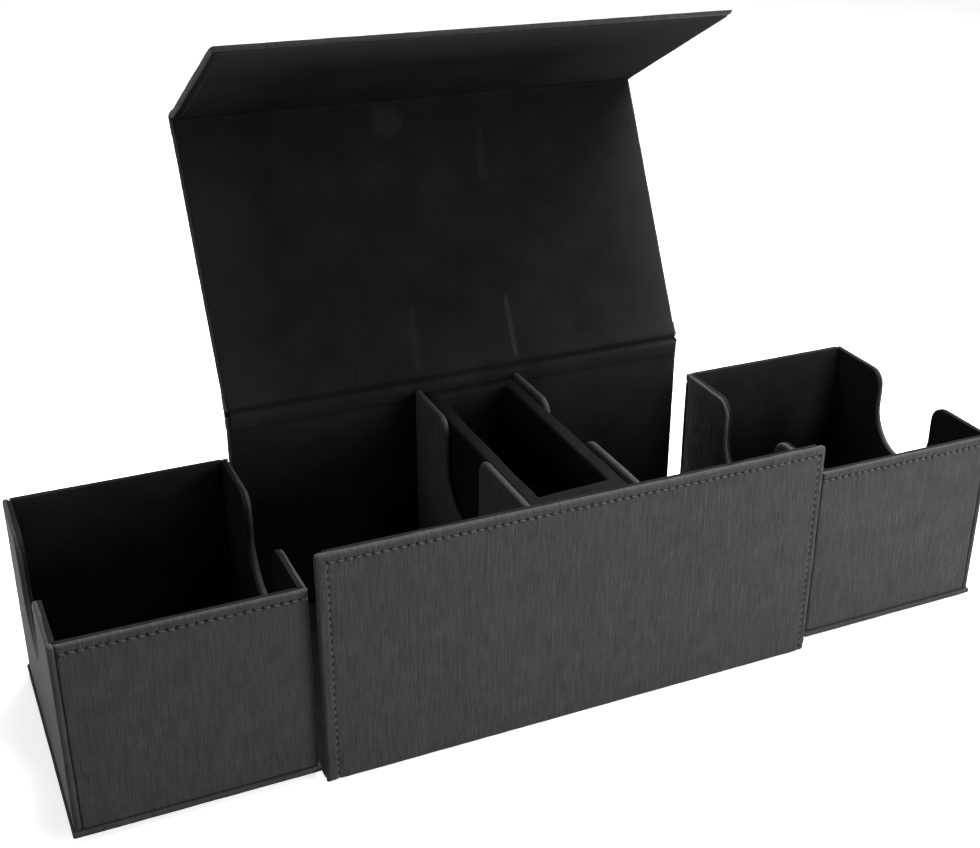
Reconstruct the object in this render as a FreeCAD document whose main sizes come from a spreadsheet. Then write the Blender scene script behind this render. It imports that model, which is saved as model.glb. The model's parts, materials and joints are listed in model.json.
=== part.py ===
"""Playing card box with two drawers, a lift-out dice tray and a folding lid held shut by magnets.

Frame: millimetres, +Z up, +X along the case, +Y towards the hinge. The origin is the centre of the
case's underside. The box is drawn as it stands open: the lid leans back and both drawers are clear
of the case. Every board and sheet is a rectangle with a thickness, drawn in the frame of the group
that it belongs to.
"""
import FreeCAD, Part
import os
import Sketcher

# Driving dimensions in millimetres, and one angle in degrees.
SIZES = {
    # case
    "case_length": 200.0,
    "case_depth": 115.0,
    "case_height": 92.0,
    "panel_thickness": 3.0,
    "base_thickness": 1.2,
    "lining_thickness": 0.6,
    "lining_drop": 5.0,
    "lining_border": 3.0,
    "edge_radius": 0.8,
    # the two partitions of the middle bay
    "bay_width": 41.0,
    "partition_thickness": 2.5,
    "partition_drop": 0.8,
    # finger notches in the partitions, which lie a little behind the middle
    "bay_notch_width": 32.5,
    "bay_notch_depth": 36.5,
    "bay_notch_setback": 5.2,
    # finger notches in the drawers' ends
    "notch_width": 36.0,
    "notch_depth": 34.0,
    # rounding of every notch's upper corners
    "notch_corner": 7.0,
    # drawers
    "drawer_length": 85.0,
    "drawer_height": 75.0,
    "drawer_wall": 2.4,
    "drawer_base": 2.4,
    "drawer_lining_drop": 2.0,
    "base_overhang": 0.8,
    "side_clearance": 0.8,
    "slide_clearance": 0.3,
    "left_drawer_gap": 0.5,
    "right_drawer_gap": 3.2,
    # dice tray
    "tray_wall": 5.8,
    "tray_front_wall": 8.8,
    "tray_floor": 3.0,
    "tray_drop": 2.5,
    "tray_clearance": 0.5,
    "tray_edge_radius": 1.5,
    # lid and flap
    "lid_board": 2.6,
    "lid_clearance": 0.3,
    "lid_open_angle": 117.5,
    "flap_lift": 3.5,
    # closing magnets
    "magnet_radius": 5.0,
    "magnet_thickness": 1.2,
    "magnet_clearance": 0.1,
    "magnet_spacing": 120.0,
    "magnet_height": 18.0,
}

# Lengths that follow from the driving dimensions and are used by more than one piece.
LAYOUT = {
    "half_length": "sizes.case_length / 2",
    "half_depth": "sizes.case_depth / 2",
    "case_wall": "sizes.panel_thickness + sizes.lining_thickness",
    "board_depth": "sizes.case_depth - 2 * sizes.panel_thickness",
    "inner_depth": "sizes.case_depth - 2 * case_wall",
    "floor_top": "sizes.base_thickness + sizes.lining_thickness",
    "lining_length": "sizes.case_length - 2 * sizes.lining_border",
    "slide_height": "floor_top + sizes.slide_clearance",
    "partition_height": "sizes.case_height - sizes.partition_drop - floor_top",
    "plate_depth": "inner_depth - 2 * sizes.side_clearance",
    "wall_depth": "plate_depth - 2 * sizes.base_overhang",
    "wall_length": "sizes.drawer_length - 2 * sizes.base_overhang",
    "wall_height": "sizes.drawer_height - sizes.drawer_base",
    "wall_inset": "sizes.base_overhang + sizes.drawer_wall",
    "pocket_length": "wall_length - 2 * sizes.drawer_wall",
    "pocket_depth": "wall_depth - 2 * sizes.drawer_wall",
    "pocket_floor": "sizes.drawer_base + sizes.lining_thickness",
    "pocket_height": "wall_height - sizes.lining_thickness - sizes.drawer_lining_drop",
    "lining_notch": "sizes.notch_width + 2 * sizes.drawer_lining_drop",
    "lining_corner": "sizes.notch_corner - sizes.drawer_lining_drop",
    "tray_width": "sizes.bay_width - 2 * sizes.tray_clearance",
    "tray_length": "inner_depth - 2 * sizes.tray_clearance",
    "tray_rise": "sizes.case_height - sizes.tray_drop - slide_height - sizes.tray_floor",
    "tray_hollow": "tray_width - 2 * sizes.tray_wall",
    "strip_radius": "(sizes.lid_board + sizes.lining_thickness) / 2",
    "lining_side": "sizes.lining_thickness - strip_radius",
    "flap_start": "strip_radius + sizes.lid_clearance",
    "hinge_height": "sizes.case_height + sizes.lid_clearance + strip_radius",
    "hinge_depth": "half_depth - strip_radius",
    "lid_reach": "sizes.case_depth + sizes.lid_clearance",
    "flap_reach": "hinge_height - sizes.flap_lift",
    "magnet_pocket": "sizes.magnet_thickness + sizes.magnet_clearance",
}

# Where each group's own frame has its origin, and by how much it is turned about X.
FRAMES = {
    "case": ("0", "0", "0", "0"),
    "left_drawer": (
        "-layout.half_length - sizes.left_drawer_gap - sizes.drawer_length",
        "-layout.plate_depth / 2",
        "layout.slide_height",
        "0",
    ),
    "right_drawer": (
        "layout.half_length + sizes.right_drawer_gap",
        "-layout.plate_depth / 2",
        "layout.slide_height",
        "0",
    ),
    "tray": ("-layout.tray_width / 2", "-layout.tray_length / 2", "layout.slide_height", "0"),
    "lid": ("-layout.half_length", "layout.hinge_depth", "layout.hinge_height", "-sizes.lid_open_angle"),
    "flap": (
        "-layout.half_length",
        "layout.hinge_depth - layout.lid_reach * cos(sizes.lid_open_angle)",
        "layout.hinge_height + layout.lid_reach * sin(sizes.lid_open_angle)",
        "-sizes.lid_open_angle",
    ),
}

# A finger notch: its width, its depth and how far its middle lies behind the board's.
DRAWER_NOTCH = ("sizes.notch_width", "sizes.notch_depth", "0")
BAY_NOTCH = ("sizes.bay_notch_width", "sizes.bay_notch_depth", "sizes.bay_notch_setback")
# A rounded edge takes at most this share of its board's thickness.
ROUND_SHARE = 0.4
# Points nearer than this are in the same place.
TOUCH = 0.001

doc = FreeCAD.newDocument("card_box")


def fill_sheet(name, cells, lead):
    """Make a sheet with a name in column A and its value or formula, with an alias, in column B."""
    sheet = doc.addObject("Spreadsheet::Sheet", name)
    for row, (alias, content) in enumerate(cells.items(), start=1):
        sheet.set("A%d" % row, alias)
        sheet.set("B%d" % row, lead + str(content))
        sheet.setAlias("B%d" % row, alias)
    return sheet


sizes = fill_sheet("sizes", SIZES, "")
layout = fill_sheet("layout", LAYOUT, "=")
doc.recompute()

pieces = []


def value(text):
    """Give an expression on the sheets as a plain number."""
    return float(sizes.evalExpression(text))


def new_piece(label, frame):
    """Start a piece as a body that lies in its group's frame."""
    body = doc.addObject("PartDesign::Body", label)
    body.Label = label
    body.Placement.Rotation = FreeCAD.Rotation(FreeCAD.Vector(1, 0, 0), 1)
    x, y, z, turn = FRAMES[frame]
    body.setExpression("Placement.Base.x", x)
    body.setExpression("Placement.Base.y", y)
    body.setExpression("Placement.Base.z", z)
    body.setExpression("Placement.Rotation.Angle", turn)
    pieces.append(body)
    return body


def new_sketch(body, role, low):
    """Lay a sketch on one of the body's origin planes and move its origin to the point low."""
    plane = [feature for feature in body.Origin.OriginFeatures if feature.Role == role][0]
    sketch = body.newObject("Sketcher::SketchObject", body.Label + "_sketch")
    sketch.AttachmentSupport = [(plane, "")]
    sketch.MapMode = "FlatFace"
    x, y, z = low
    offsets = {
        "XY_Plane": (x, y, z),
        "XZ_Plane": (x, z, "-(%s)" % y),
        "YZ_Plane": (y, z, x),
    }
    for axis, offset in zip("xyz", offsets[role]):
        sketch.setExpression("AttachmentOffset.Base." + axis, offset)
    return sketch


def dimension(sketch, text, kind, *where):
    """Add a dimension whose value is an expression on the sheets."""
    number = sketch.addConstraint(Sketcher.Constraint(kind, *where, value(text)))
    sketch.setExpression("Constraints[%d]" % number, text)


def draw_rectangle(sketch, width, height):
    """Draw a rectangle from the sketch's origin."""
    wide = value(width)
    high = value(height)
    corners = [FreeCAD.Vector(x, y, 0) for x, y in ((0, 0), (wide, 0), (wide, high), (0, high))]
    for i in range(4):
        sketch.addGeometry(Part.LineSegment(corners[i], corners[(i + 1) % 4]))
    for i, direction in enumerate(("Horizontal", "Vertical", "Horizontal", "Vertical")):
        sketch.addConstraint(Sketcher.Constraint("Coincident", i, 2, (i + 1) % 4, 1))
        sketch.addConstraint(Sketcher.Constraint(direction, i))
    sketch.addConstraint(Sketcher.Constraint("Coincident", 0, 1, -1, 1))
    dimension(sketch, width, "DistanceX", 0, 1, 0, 2)
    dimension(sketch, height, "DistanceY", 1, 1, 1, 2)


def add_pad(body, sketch, thickness):
    """Thicken a sketch towards the positive side of its plane."""
    pad = body.newObject("PartDesign::Pad", body.Label + "_pad")
    pad.Profile = sketch
    pad.setExpression("Length", thickness)
    doc.recompute()
    if sketch.Placement.Rotation.multVec(FreeCAD.Vector(0, 0, 1)).y < 0:
        pad.Reversed = True
        doc.recompute()
    return pad


def edges_where(body, chosen):
    """Name the edges of the body's last feature that the test chooses."""
    edges = enumerate(body.Tip.Shape.Edges, start=1)
    return ["Edge%d" % number for number, edge in edges if chosen(edge)]


def long_top_edges(body):
    """Name the edges that run the whole length of the body's top."""
    box = body.Tip.Shape.BoundBox
    length = max(box.XLength, box.YLength)

    def on_top(edge):
        return edge.BoundBox.ZMin > box.ZMax - TOUCH and edge.Length > length - TOUCH

    return edges_where(body, on_top)


def round_edges(body, radius, names=None):
    """Round the named edges of the body's last feature, or all of them."""
    feature = body.Tip
    names = names or edges_where(body, bool)
    fillet = body.newObject("PartDesign::Fillet", body.Label + "_round")
    fillet.Base = (feature, names)
    fillet.setExpression("Radius", radius)
    doc.recompute()


def board_round(thickness):
    """Give the radius of a wrapped board's edge, which its thickness limits."""
    return "min(sizes.edge_radius; %s * %s)" % (ROUND_SHARE, thickness)


def cut_pocket(body, sketch, depth):
    """Cut a sketch out of the body along the sketch's normal, and check that it took something away."""
    before = body.Shape.Volume
    pocket = body.newObject("PartDesign::Pocket", body.Label + "_cut")
    pocket.Profile = sketch
    pocket.Reversed = True
    pocket.setExpression("Length", depth)
    doc.recompute()
    if pocket.Shape.isNull() or pocket.Shape.Volume > before - TOUCH:
        raise RuntimeError("%s: the pocket cuts nothing" % body.Label)


def add_board(label, frame, role, low, width, height, thickness, rounded=False):
    """Make a flat board or sheet: a rectangle from its low corner, thickened."""
    body = new_piece(label, frame)
    sketch = new_sketch(body, role, low)
    draw_rectangle(sketch, width, height)
    add_pad(body, sketch, thickness)
    if rounded:
        round_edges(body, board_round(thickness))
    return body


def draw_notch(sketch, board, notch):
    """Draw a finger notch with a half-round bottom in a board's upper edge."""
    width, height = board
    notch_width, notch_depth, setback = notch
    centre = value(width) / 2 + value(setback)
    rim = value(height)
    half = value(notch_width) / 2
    bend = rim - value(notch_depth) + half
    left_low = FreeCAD.Vector(centre - half, bend, 0)
    left_high = FreeCAD.Vector(centre - half, rim, 0)
    right_high = FreeCAD.Vector(centre + half, rim, 0)
    right_low = FreeCAD.Vector(centre + half, bend, 0)
    bottom = FreeCAD.Vector(centre, bend - half, 0)
    sketch.addGeometry(Part.LineSegment(left_low, left_high))
    sketch.addGeometry(Part.LineSegment(left_high, right_high))
    sketch.addGeometry(Part.LineSegment(right_high, right_low))
    sketch.addGeometry(Part.Arc(left_low, bottom, right_low))
    sketch.addConstraint(Sketcher.Constraint("Coincident", 0, 2, 1, 1))
    sketch.addConstraint(Sketcher.Constraint("Coincident", 1, 2, 2, 1))
    sketch.addConstraint(Sketcher.Constraint("Tangent", 3, 1, 0, 1))
    sketch.addConstraint(Sketcher.Constraint("Tangent", 3, 2, 2, 2))
    sketch.addConstraint(Sketcher.Constraint("Vertical", 0))
    sketch.addConstraint(Sketcher.Constraint("Horizontal", 1))
    sketch.addConstraint(Sketcher.Constraint("Vertical", 2))
    dimension(sketch, notch_width, "DistanceX", 1, 1, 1, 2)
    beside = "(%s - %s) / 2 + %s" % (width, notch_width, setback)
    dimension(sketch, beside, "DistanceX", -1, 1, 0, 2)
    dimension(sketch, height, "DistanceY", -1, 1, 0, 2)
    dimension(sketch, "%s - %s / 2" % (notch_depth, notch_width), "DistanceY", 0, 1, 0, 2)


def add_notched_board(label, frame, low, board, thickness, notch, corner, rounded=False):
    """Make a board across X, of a width and height, with a finger notch in its upper edge."""
    width, height = board
    body = add_board(label, frame, "YZ_Plane", low, width, height, thickness)
    sketch = new_sketch(body, "YZ_Plane", low)
    draw_notch(sketch, board, notch)
    cut_pocket(body, sketch, thickness)
    box = body.Tip.Shape.BoundBox
    half = value(notch[0]) / 2
    centre = box.Center.y + value(notch[2])

    def at_rim_corner(edge):
        point = edge.BoundBox.Center
        across = edge.BoundBox.XLength > box.XLength - TOUCH
        beside_notch = abs(abs(point.y - centre) - half) < TOUCH
        return across and beside_notch and abs(point.z - box.ZMax) < TOUCH

    round_edges(body, corner, edges_where(body, at_rim_corner))
    if rounded:
        round_edges(body, board_round(thickness))


def add_strip(label, place, side):
    """Make the half-round edge strip that lies along X, centred on the hinge or the fold."""
    body = new_piece(label, "lid")
    sketch = new_sketch(body, "YZ_Plane", ("0", place, "0"))
    reach = side * value("layout.strip_radius")
    start = FreeCAD.Vector(0, -reach, 0)
    middle = FreeCAD.Vector(reach, 0, 0)
    end = FreeCAD.Vector(0, reach, 0)
    sketch.addGeometry(Part.Arc(start, middle, end))
    sketch.addGeometry(Part.LineSegment(end, start))
    sketch.addConstraint(Sketcher.Constraint("Coincident", 0, 2, 1, 1))
    sketch.addConstraint(Sketcher.Constraint("Coincident", 1, 2, 0, 1))
    sketch.addConstraint(Sketcher.Constraint("Coincident", 0, 3, -1, 1))
    sketch.addConstraint(Sketcher.Constraint("PointOnObject", 0, 1, -2))
    dimension(sketch, "layout.strip_radius", "Radius", 0)
    add_pad(body, sketch, "sizes.case_length")


def draw_circle(sketch, radius):
    """Draw a circle round the sketch's origin."""
    sketch.addGeometry(Part.Circle(FreeCAD.Vector(0, 0, 0), FreeCAD.Vector(0, 0, 1), value(radius)))
    sketch.addConstraint(Sketcher.Constraint("Coincident", 0, 3, -1, 1))
    dimension(sketch, radius, "Radius", 0)


def add_magnets(board, name, frame, middle, inner_face, height):
    """Sink two disc magnets into a board's inner face, which a lining then covers."""
    sides = {
        "left": middle + " - sizes.magnet_spacing / 2",
        "right": middle + " + sizes.magnet_spacing / 2",
    }
    for side, place in sides.items():
        hole = new_sketch(board, "XZ_Plane", (place, inner_face, height))
        draw_circle(hole, "sizes.magnet_radius + sizes.magnet_clearance")
        cut_pocket(board, hole, "layout.magnet_pocket")
        magnet = new_piece("%s_%s_magnet" % (name, side), frame)
        disc = new_sketch(magnet, "XZ_Plane", (place, inner_face + " - sizes.magnet_thickness", height))
        draw_circle(disc, "sizes.magnet_radius")
        add_pad(magnet, disc, "sizes.magnet_thickness")


def add_case():
    """Make the case: base, front and back panel, their linings, and the two partitions."""
    end = "-layout.half_length"
    front = "-layout.half_depth"
    lining_end = end + " + sizes.lining_border"
    lining = "sizes.lining_thickness"
    add_board(
        "case_base_board", "case", "XY_Plane", (end, front + " + sizes.panel_thickness", "0"),
        "sizes.case_length", "layout.board_depth", "sizes.base_thickness",
    )
    add_board(
        "case_floor_lining", "case", "XY_Plane",
        (end, front + " + layout.case_wall", "sizes.base_thickness"),
        "sizes.case_length", "layout.inner_depth", lining,
    )
    panels = {
        "case_front": (front, front + " + sizes.panel_thickness"),
        "case_back": ("layout.half_depth - sizes.panel_thickness", "layout.half_depth - layout.case_wall"),
    }
    for name, (panel_side, lining_side) in panels.items():
        board = add_board(
            name + "_panel", "case", "XZ_Plane", (end, panel_side, "0"),
            "sizes.case_length", "sizes.case_height", "sizes.panel_thickness", rounded=True,
        )
        add_board(
            name + "_lining", "case", "XZ_Plane", (lining_end, lining_side, "sizes.base_thickness"),
            "layout.lining_length", "sizes.case_height - sizes.base_thickness - sizes.lining_drop", lining,
        )
        if name == "case_front":
            inner_face = front + " + sizes.panel_thickness"
            add_magnets(board, "case", "case", "0", inner_face, "sizes.magnet_height")
    partitions = {
        "left_partition": "-sizes.bay_width / 2 - sizes.partition_thickness",
        "right_partition": "sizes.bay_width / 2",
    }
    for name, side in partitions.items():
        add_notched_board(
            name, "case", (side, "-layout.inner_depth / 2", "layout.floor_top"),
            ("layout.inner_depth", "layout.partition_height"), "sizes.partition_thickness",
            BAY_NOTCH, "sizes.notch_corner", rounded=True,
        )


def add_drawer(name, inner_end):
    """Make a drawer: base plate, four walls and their linings. inner_end is low or high along X."""
    wall = "sizes.drawer_wall"
    lining = "sizes.lining_thickness"
    overhang = "sizes.base_overhang"
    inset = "layout.wall_inset"
    floor = "layout.pocket_floor"
    add_board(
        name + "_base", name, "XY_Plane", ("0", "0", "0"),
        "sizes.drawer_length", "layout.plate_depth", "sizes.drawer_base", rounded=True,
    )
    add_board(
        name + "_floor_lining", name, "XY_Plane", (inset, inset, "sizes.drawer_base"),
        "layout.pocket_length", "layout.pocket_depth", lining,
    )
    sides = {
        "front": (overhang, inset),
        "back": (
            overhang + " + layout.wall_depth - " + wall,
            inset + " + layout.pocket_depth - " + lining,
        ),
    }
    wall_start = overhang if inner_end == "low" else inset
    for side, (wall_place, lining_place) in sides.items():
        board = add_board(
            "%s_%s_wall" % (name, side), name, "XZ_Plane", (wall_start, wall_place, "sizes.drawer_base"),
            "layout.wall_length - " + wall, "layout.wall_height", wall,
        )
        round_edges(board, board_round(wall), long_top_edges(board))
        add_board(
            "%s_%s_lining" % (name, side), name, "XZ_Plane", (inset + " + " + lining, lining_place, floor),
            "layout.pocket_length - 2 * " + lining, "layout.pocket_height", lining,
        )
    ends = {
        "low": (overhang, inset),
        "high": (
            overhang + " + layout.wall_length - " + wall,
            inset + " + layout.pocket_length - " + lining,
        ),
    }
    for side, (wall_place, lining_place) in ends.items():
        # The outer end covers the front and back walls, and the inner end stands between them.
        end = "inner" if side == inner_end else "outer"
        end_start = inset if end == "inner" else overhang
        end_depth = "layout.pocket_depth" if end == "inner" else "layout.wall_depth"
        add_notched_board(
            "%s_%s_end" % (name, end), name, (wall_place, end_start, "sizes.drawer_base"),
            (end_depth, "layout.wall_height"), wall,
            DRAWER_NOTCH, "sizes.notch_corner", rounded=True,
        )
        add_notched_board(
            "%s_%s_lining" % (name, end), name, (lining_place, inset, floor),
            ("layout.pocket_depth", "layout.pocket_height"), lining,
            ("layout.lining_notch", "sizes.notch_depth", "0"), "layout.lining_corner",
        )


def add_tray():
    """Make the dice tray: a floor and four thick padded walls."""
    wall = "sizes.tray_wall"
    floor = "sizes.tray_floor"
    edge = "sizes.tray_edge_radius"
    add_board(
        "tray_floor", "tray", "XY_Plane", ("0", "0", "0"), "layout.tray_width", "layout.tray_length", floor,
    )
    sides = {
        "left": "0",
        "right": "layout.tray_width - " + wall,
    }
    for side, place in sides.items():
        board = add_board(
            "tray_%s_wall" % side, "tray", "YZ_Plane", (place, "0", floor),
            "layout.tray_length", "layout.tray_rise", wall,
        )
        round_edges(board, edge, long_top_edges(board))
    ends = {
        "front": ("0", "sizes.tray_front_wall"),
        "back": ("layout.tray_length - " + wall, wall),
    }
    for side, (place, thickness) in ends.items():
        board = add_board(
            "tray_%s_wall" % side, "tray", "XZ_Plane", (wall, place, floor),
            "layout.tray_hollow", "layout.tray_rise", thickness,
        )
        round_edges(board, edge, long_top_edges(board))


def add_lid():
    """Make the lid, in the frame of its hinge, where it lies as it does when shut."""
    board = add_board(
        "lid_board", "lid", "XY_Plane", ("0", "-layout.lid_reach", "layout.lining_side"),
        "sizes.case_length", "layout.lid_reach", "sizes.lid_board",
    )
    box = board.Tip.Shape.BoundBox
    ends = edges_where(board, lambda edge: edge.BoundBox.YLength > box.YLength - TOUCH)
    round_edges(board, board_round("sizes.lid_board"), ends)
    add_board(
        "lid_lining", "lid", "XY_Plane",
        ("sizes.lining_border", "-layout.lid_reach", "-layout.strip_radius"),
        "layout.lining_length", "layout.lid_reach", "sizes.lining_thickness",
    )
    add_strip("lid_hinge_strip", "0", 1)
    add_strip("lid_fold_strip", "-layout.lid_reach", -1)


def add_flap():
    """Make the flap, in the frame of its fold, where it hangs down as it does when shut."""
    board = add_board(
        "flap_board", "flap", "XZ_Plane", ("0", "-layout.strip_radius", "-layout.flap_reach"),
        "sizes.case_length", "layout.flap_reach - layout.flap_start", "sizes.lid_board", rounded=True,
    )
    add_board(
        "flap_lining", "flap", "XZ_Plane",
        ("sizes.lining_border", "-layout.lining_side", "sizes.lining_border - layout.flap_reach"),
        "layout.lining_length", "layout.flap_reach - layout.flap_start - sizes.lining_border",
        "sizes.lining_thickness",
    )
    height = "sizes.magnet_height - layout.hinge_height"
    add_magnets(board, "flap", "flap", "layout.half_length", "-layout.lining_side", height)


def check_and_export():
    """Stop if any feature failed, and write each piece to its own file."""
    doc.recompute()
    failed = [item.Label for item in doc.Objects if {"Invalid", "Error"} & set(item.State)]
    for piece in pieces:
        shape = piece.Shape
        if shape.isNull() or not shape.isValid() or len(shape.Solids) != 1:
            failed.append(piece.Label)
    if failed:
        raise RuntimeError("failed: " + ", ".join(failed))
    os.makedirs("parts", exist_ok=True)
    for piece in pieces:
        piece.Shape.exportStep("parts/%s.step" % piece.Label)
        print(piece.Label, round(piece.Shape.Volume / 1000, 2), "cm3")


add_case()
add_drawer("left_drawer", inner_end="high")
add_drawer("right_drawer", inner_end="low")
add_tray()
add_lid()
add_flap()
check_and_export()
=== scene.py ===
import json
import math

import bpy
from mathutils import Matrix, Vector


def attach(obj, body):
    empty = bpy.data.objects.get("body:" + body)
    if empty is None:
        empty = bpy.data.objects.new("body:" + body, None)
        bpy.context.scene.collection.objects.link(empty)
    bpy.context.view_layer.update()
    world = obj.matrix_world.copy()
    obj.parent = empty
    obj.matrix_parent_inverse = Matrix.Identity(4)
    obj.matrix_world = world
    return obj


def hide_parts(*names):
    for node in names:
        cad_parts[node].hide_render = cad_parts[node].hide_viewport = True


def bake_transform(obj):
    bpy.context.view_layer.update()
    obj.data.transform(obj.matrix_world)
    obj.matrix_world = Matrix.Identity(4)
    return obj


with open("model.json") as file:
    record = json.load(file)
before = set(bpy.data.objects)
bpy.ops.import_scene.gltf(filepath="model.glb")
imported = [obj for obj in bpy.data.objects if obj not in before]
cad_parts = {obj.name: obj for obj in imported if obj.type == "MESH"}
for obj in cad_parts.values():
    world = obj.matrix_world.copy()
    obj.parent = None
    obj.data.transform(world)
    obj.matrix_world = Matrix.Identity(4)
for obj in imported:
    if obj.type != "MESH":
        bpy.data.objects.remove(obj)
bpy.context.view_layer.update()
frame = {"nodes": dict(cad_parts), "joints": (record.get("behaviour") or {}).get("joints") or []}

MM = 0.001


class Socket:
    """A shader socket that takes part in Python expressions."""

    def __init__(self, shader, link):
        self.shader = shader
        self.link = link

    def _math(self, operation, first, second):
        return self.shader.node("ShaderNodeMath", {"operation": operation}, [first, second])

    def __add__(self, other):
        return self._math("ADD", self, other)

    def __radd__(self, other):
        return self._math("ADD", other, self)

    def __sub__(self, other):
        return self._math("SUBTRACT", self, other)

    def __rsub__(self, other):
        return self._math("SUBTRACT", other, self)

    def __mul__(self, other):
        return self._math("MULTIPLY", self, other)

    def __rmul__(self, other):
        return self._math("MULTIPLY", other, self)

    def or_more(self, other):
        """The greater of two values."""
        return self._math("MAXIMUM", self, other)

    def clamped(self):
        """The value, held between zero and one."""
        return self.shader.node("ShaderNodeClamp", {}, [self])


class Shader:
    """The nodes of one material or world, built from expressions."""

    def __init__(self, owner, main, values):
        self.owner = owner
        owner.use_nodes = True
        self.tree = owner.node_tree
        self.main = self.tree.nodes[main]
        for title, value in values.items():
            self.main.inputs[title].default_value = value

    def feed(self, socket, value):
        """Connect a value, a vector or a link to a socket."""
        if isinstance(value, Socket):
            self.tree.links.new(value.link, socket)
        elif value is not None:
            socket.default_value = value

    def node(self, kind, settings, inputs, output=0):
        """Add a node with its settings and inputs, and give one of its outputs."""
        node = self.tree.nodes.new(kind)
        for title, value in settings.items():
            setattr(node, title, value)
        pairs = inputs.items() if isinstance(inputs, dict) else enumerate(inputs)
        for key, value in pairs:
            self.feed(node.inputs[key], value)
        return Socket(self, node.outputs[output])

    def vector_math(self, operation, inputs, output="Vector"):
        """Work on vectors."""
        return self.node("ShaderNodeVectorMath", {"operation": operation}, inputs, output)

    def place(self):
        """The place of a point in the object's own frame."""
        return self.node("ShaderNodeTexCoord", {}, {}, "Object")

    def in_grains(self, *sizes):
        """The place, counted in grains of a size for each axis, or of one size."""
        sizes = sizes if len(sizes) == 3 else sizes * 3
        return self.vector_math("MULTIPLY", [self.place(), [1 / size for size in sizes]])

    def noise(self, vector, detail=3.0, rough=0.5):
        """An uneven pattern whose size is set by the vector."""
        inputs = {"Vector": vector, "Scale": 1.0, "Detail": detail, "Roughness": rough}
        return self.node("ShaderNodeTexNoise", {}, inputs)

    def near_line(self, start, end, half_width, soft):
        """One beside a line between two places, falling softly to nothing."""
        run = end - start
        along = self.vector_math("SUBTRACT", [self.place(), start])
        share = self.vector_math("DOT_PRODUCT", [along, run / run.length_squared], "Value")
        foot = self.vector_math("MULTIPLY_ADD", [share.clamped(), run, start])
        away = self.vector_math("DISTANCE", [self.place(), foot], "Value")
        return (1 - (away - half_width) * (1 / soft)).clamped()

    def blend(self, share, first, second):
        """Mix two colours."""
        inputs = {0: share, 6: first, 7: second}
        return self.node("ShaderNodeMix", {"data_type": "RGBA"}, inputs, 2)

    def relief(self, height, depth):
        """A normal that follows a height, with the depth between its zero and its one."""
        inputs = {"Strength": 1.0, "Distance": depth, "Height": height}
        return self.node("ShaderNodeBump", {}, inputs)

    def sees_background(self):
        """One for the rays that show the background: the camera's, mirrored and refracted ones."""
        rays = ("Is Camera Ray", "Is Glossy Ray", "Is Transmission Ray")
        seen, mirrored, refracted = [self.node("ShaderNodeLightPath", {}, {}, ray) for ray in rays]
        return seen.or_more(mirrored).or_more(refracted)

    def finish(self, colour, roughness, normal=None):
        """Feed the surface, and give the material."""
        self.feed(self.main.inputs["Base Color"], colour)
        self.feed(self.main.inputs["Roughness"], roughness)
        self.feed(self.main.inputs["Normal"], normal)
        return self.owner


def surface(name, values):
    """A new material's shader, with the values that are the same all over it."""
    return Shader(bpy.data.materials.new(name), "Principled BSDF", values)


def grey(level):
    """A neutral colour."""
    return (level, level, level, 1.0)


def leatherette(name, across):
    """Charcoal imitation leather. Its brushed grain runs along the two axes other than across."""
    shader = surface(name, {"Specular IOR Level": 0.06})
    fine = [3.5 * MM] * 3
    fine[across] = 0.45 * MM
    coarse = [10 * MM] * 3
    coarse[across] = 1.1 * MM
    streaks = shader.noise(shader.in_grains(*fine), detail=2.0, rough=0.6)
    bands = shader.noise(shader.in_grains(*coarse), detail=1.0)
    cloud = shader.noise(shader.in_grains(8 * MM), detail=4.0)
    light = (streaks - 0.5) * cloud * 2.2 + (bands - 0.5) * 1.1 + (cloud - 0.5) * 0.9
    share = (light + 0.5).clamped()
    colour = shader.blend(share, grey(0.040), grey(0.063))
    brushed = shader.relief(streaks * cloud + bands * 0.5, 0.5 * MM)
    return shader.finish(colour, 0.7 - 0.12 * share, brushed)


def suede(name, level, prints_and_painted_shading=()):
    """Black suede with a short uneven nap, lighter where it was pressed, with painted light and
    painted shade along other given lines.
    """
    shader = surface(name, {"Specular IOR Level": 0.0})
    nap = shader.noise(shader.in_grains(0.5 * MM))
    strokes = shader.noise(shader.in_grains(16 * MM), rough=0.6)
    share = ((nap - 0.5) * 0.8 + (strokes - 0.5) * 1.4 + 0.5).clamped()
    colour = shader.blend(share, grey(level * 0.7), grey(level * 1.3))
    # The marks hold real prints and creases, and also painted light and painted shade.
    for *line, strength, tone in prints_and_painted_shading:
        colour = shader.blend(shader.near_line(*line) * strength, colour, grey(level * tone))
    return shader.finish(colour, 0.95, shader.relief(nap, 0.1 * MM))


def cotton(name, level):
    """Twisted sewing thread."""
    shader = surface(name, {"Specular IOR Level": 0.35})
    twist = shader.noise(shader.in_grains(0.25 * MM), detail=1.0)
    colour = shader.blend(twist, grey(level * 0.5), grey(level * 1.5))
    return shader.finish(colour, 0.8, shader.relief(twist, 0.1 * MM))


def steel(name):
    """Plain plated magnet."""
    shader = surface(name, {"Metallic": 1.0})
    brushed = shader.noise(shader.in_grains(0.4 * MM, 0.4 * MM, 3 * MM))
    colour = shader.blend(brushed, grey(0.45), grey(0.6))
    return shader.finish(colour, 0.3 + 0.15 * brushed, shader.relief(brushed, 0.05 * MM))


X = Vector((1, 0, 0))
Y = Vector((0, 1, 0))
Z = Vector((0, 0, 1))

SHARP = math.radians(50)      # edges that turn more than this are rounded
HARD_ANGLE = 40               # degrees: edges that turn more than this are shaded sharp
SOFT_ANGLE = 60               # the same on bent and padded pieces

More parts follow.
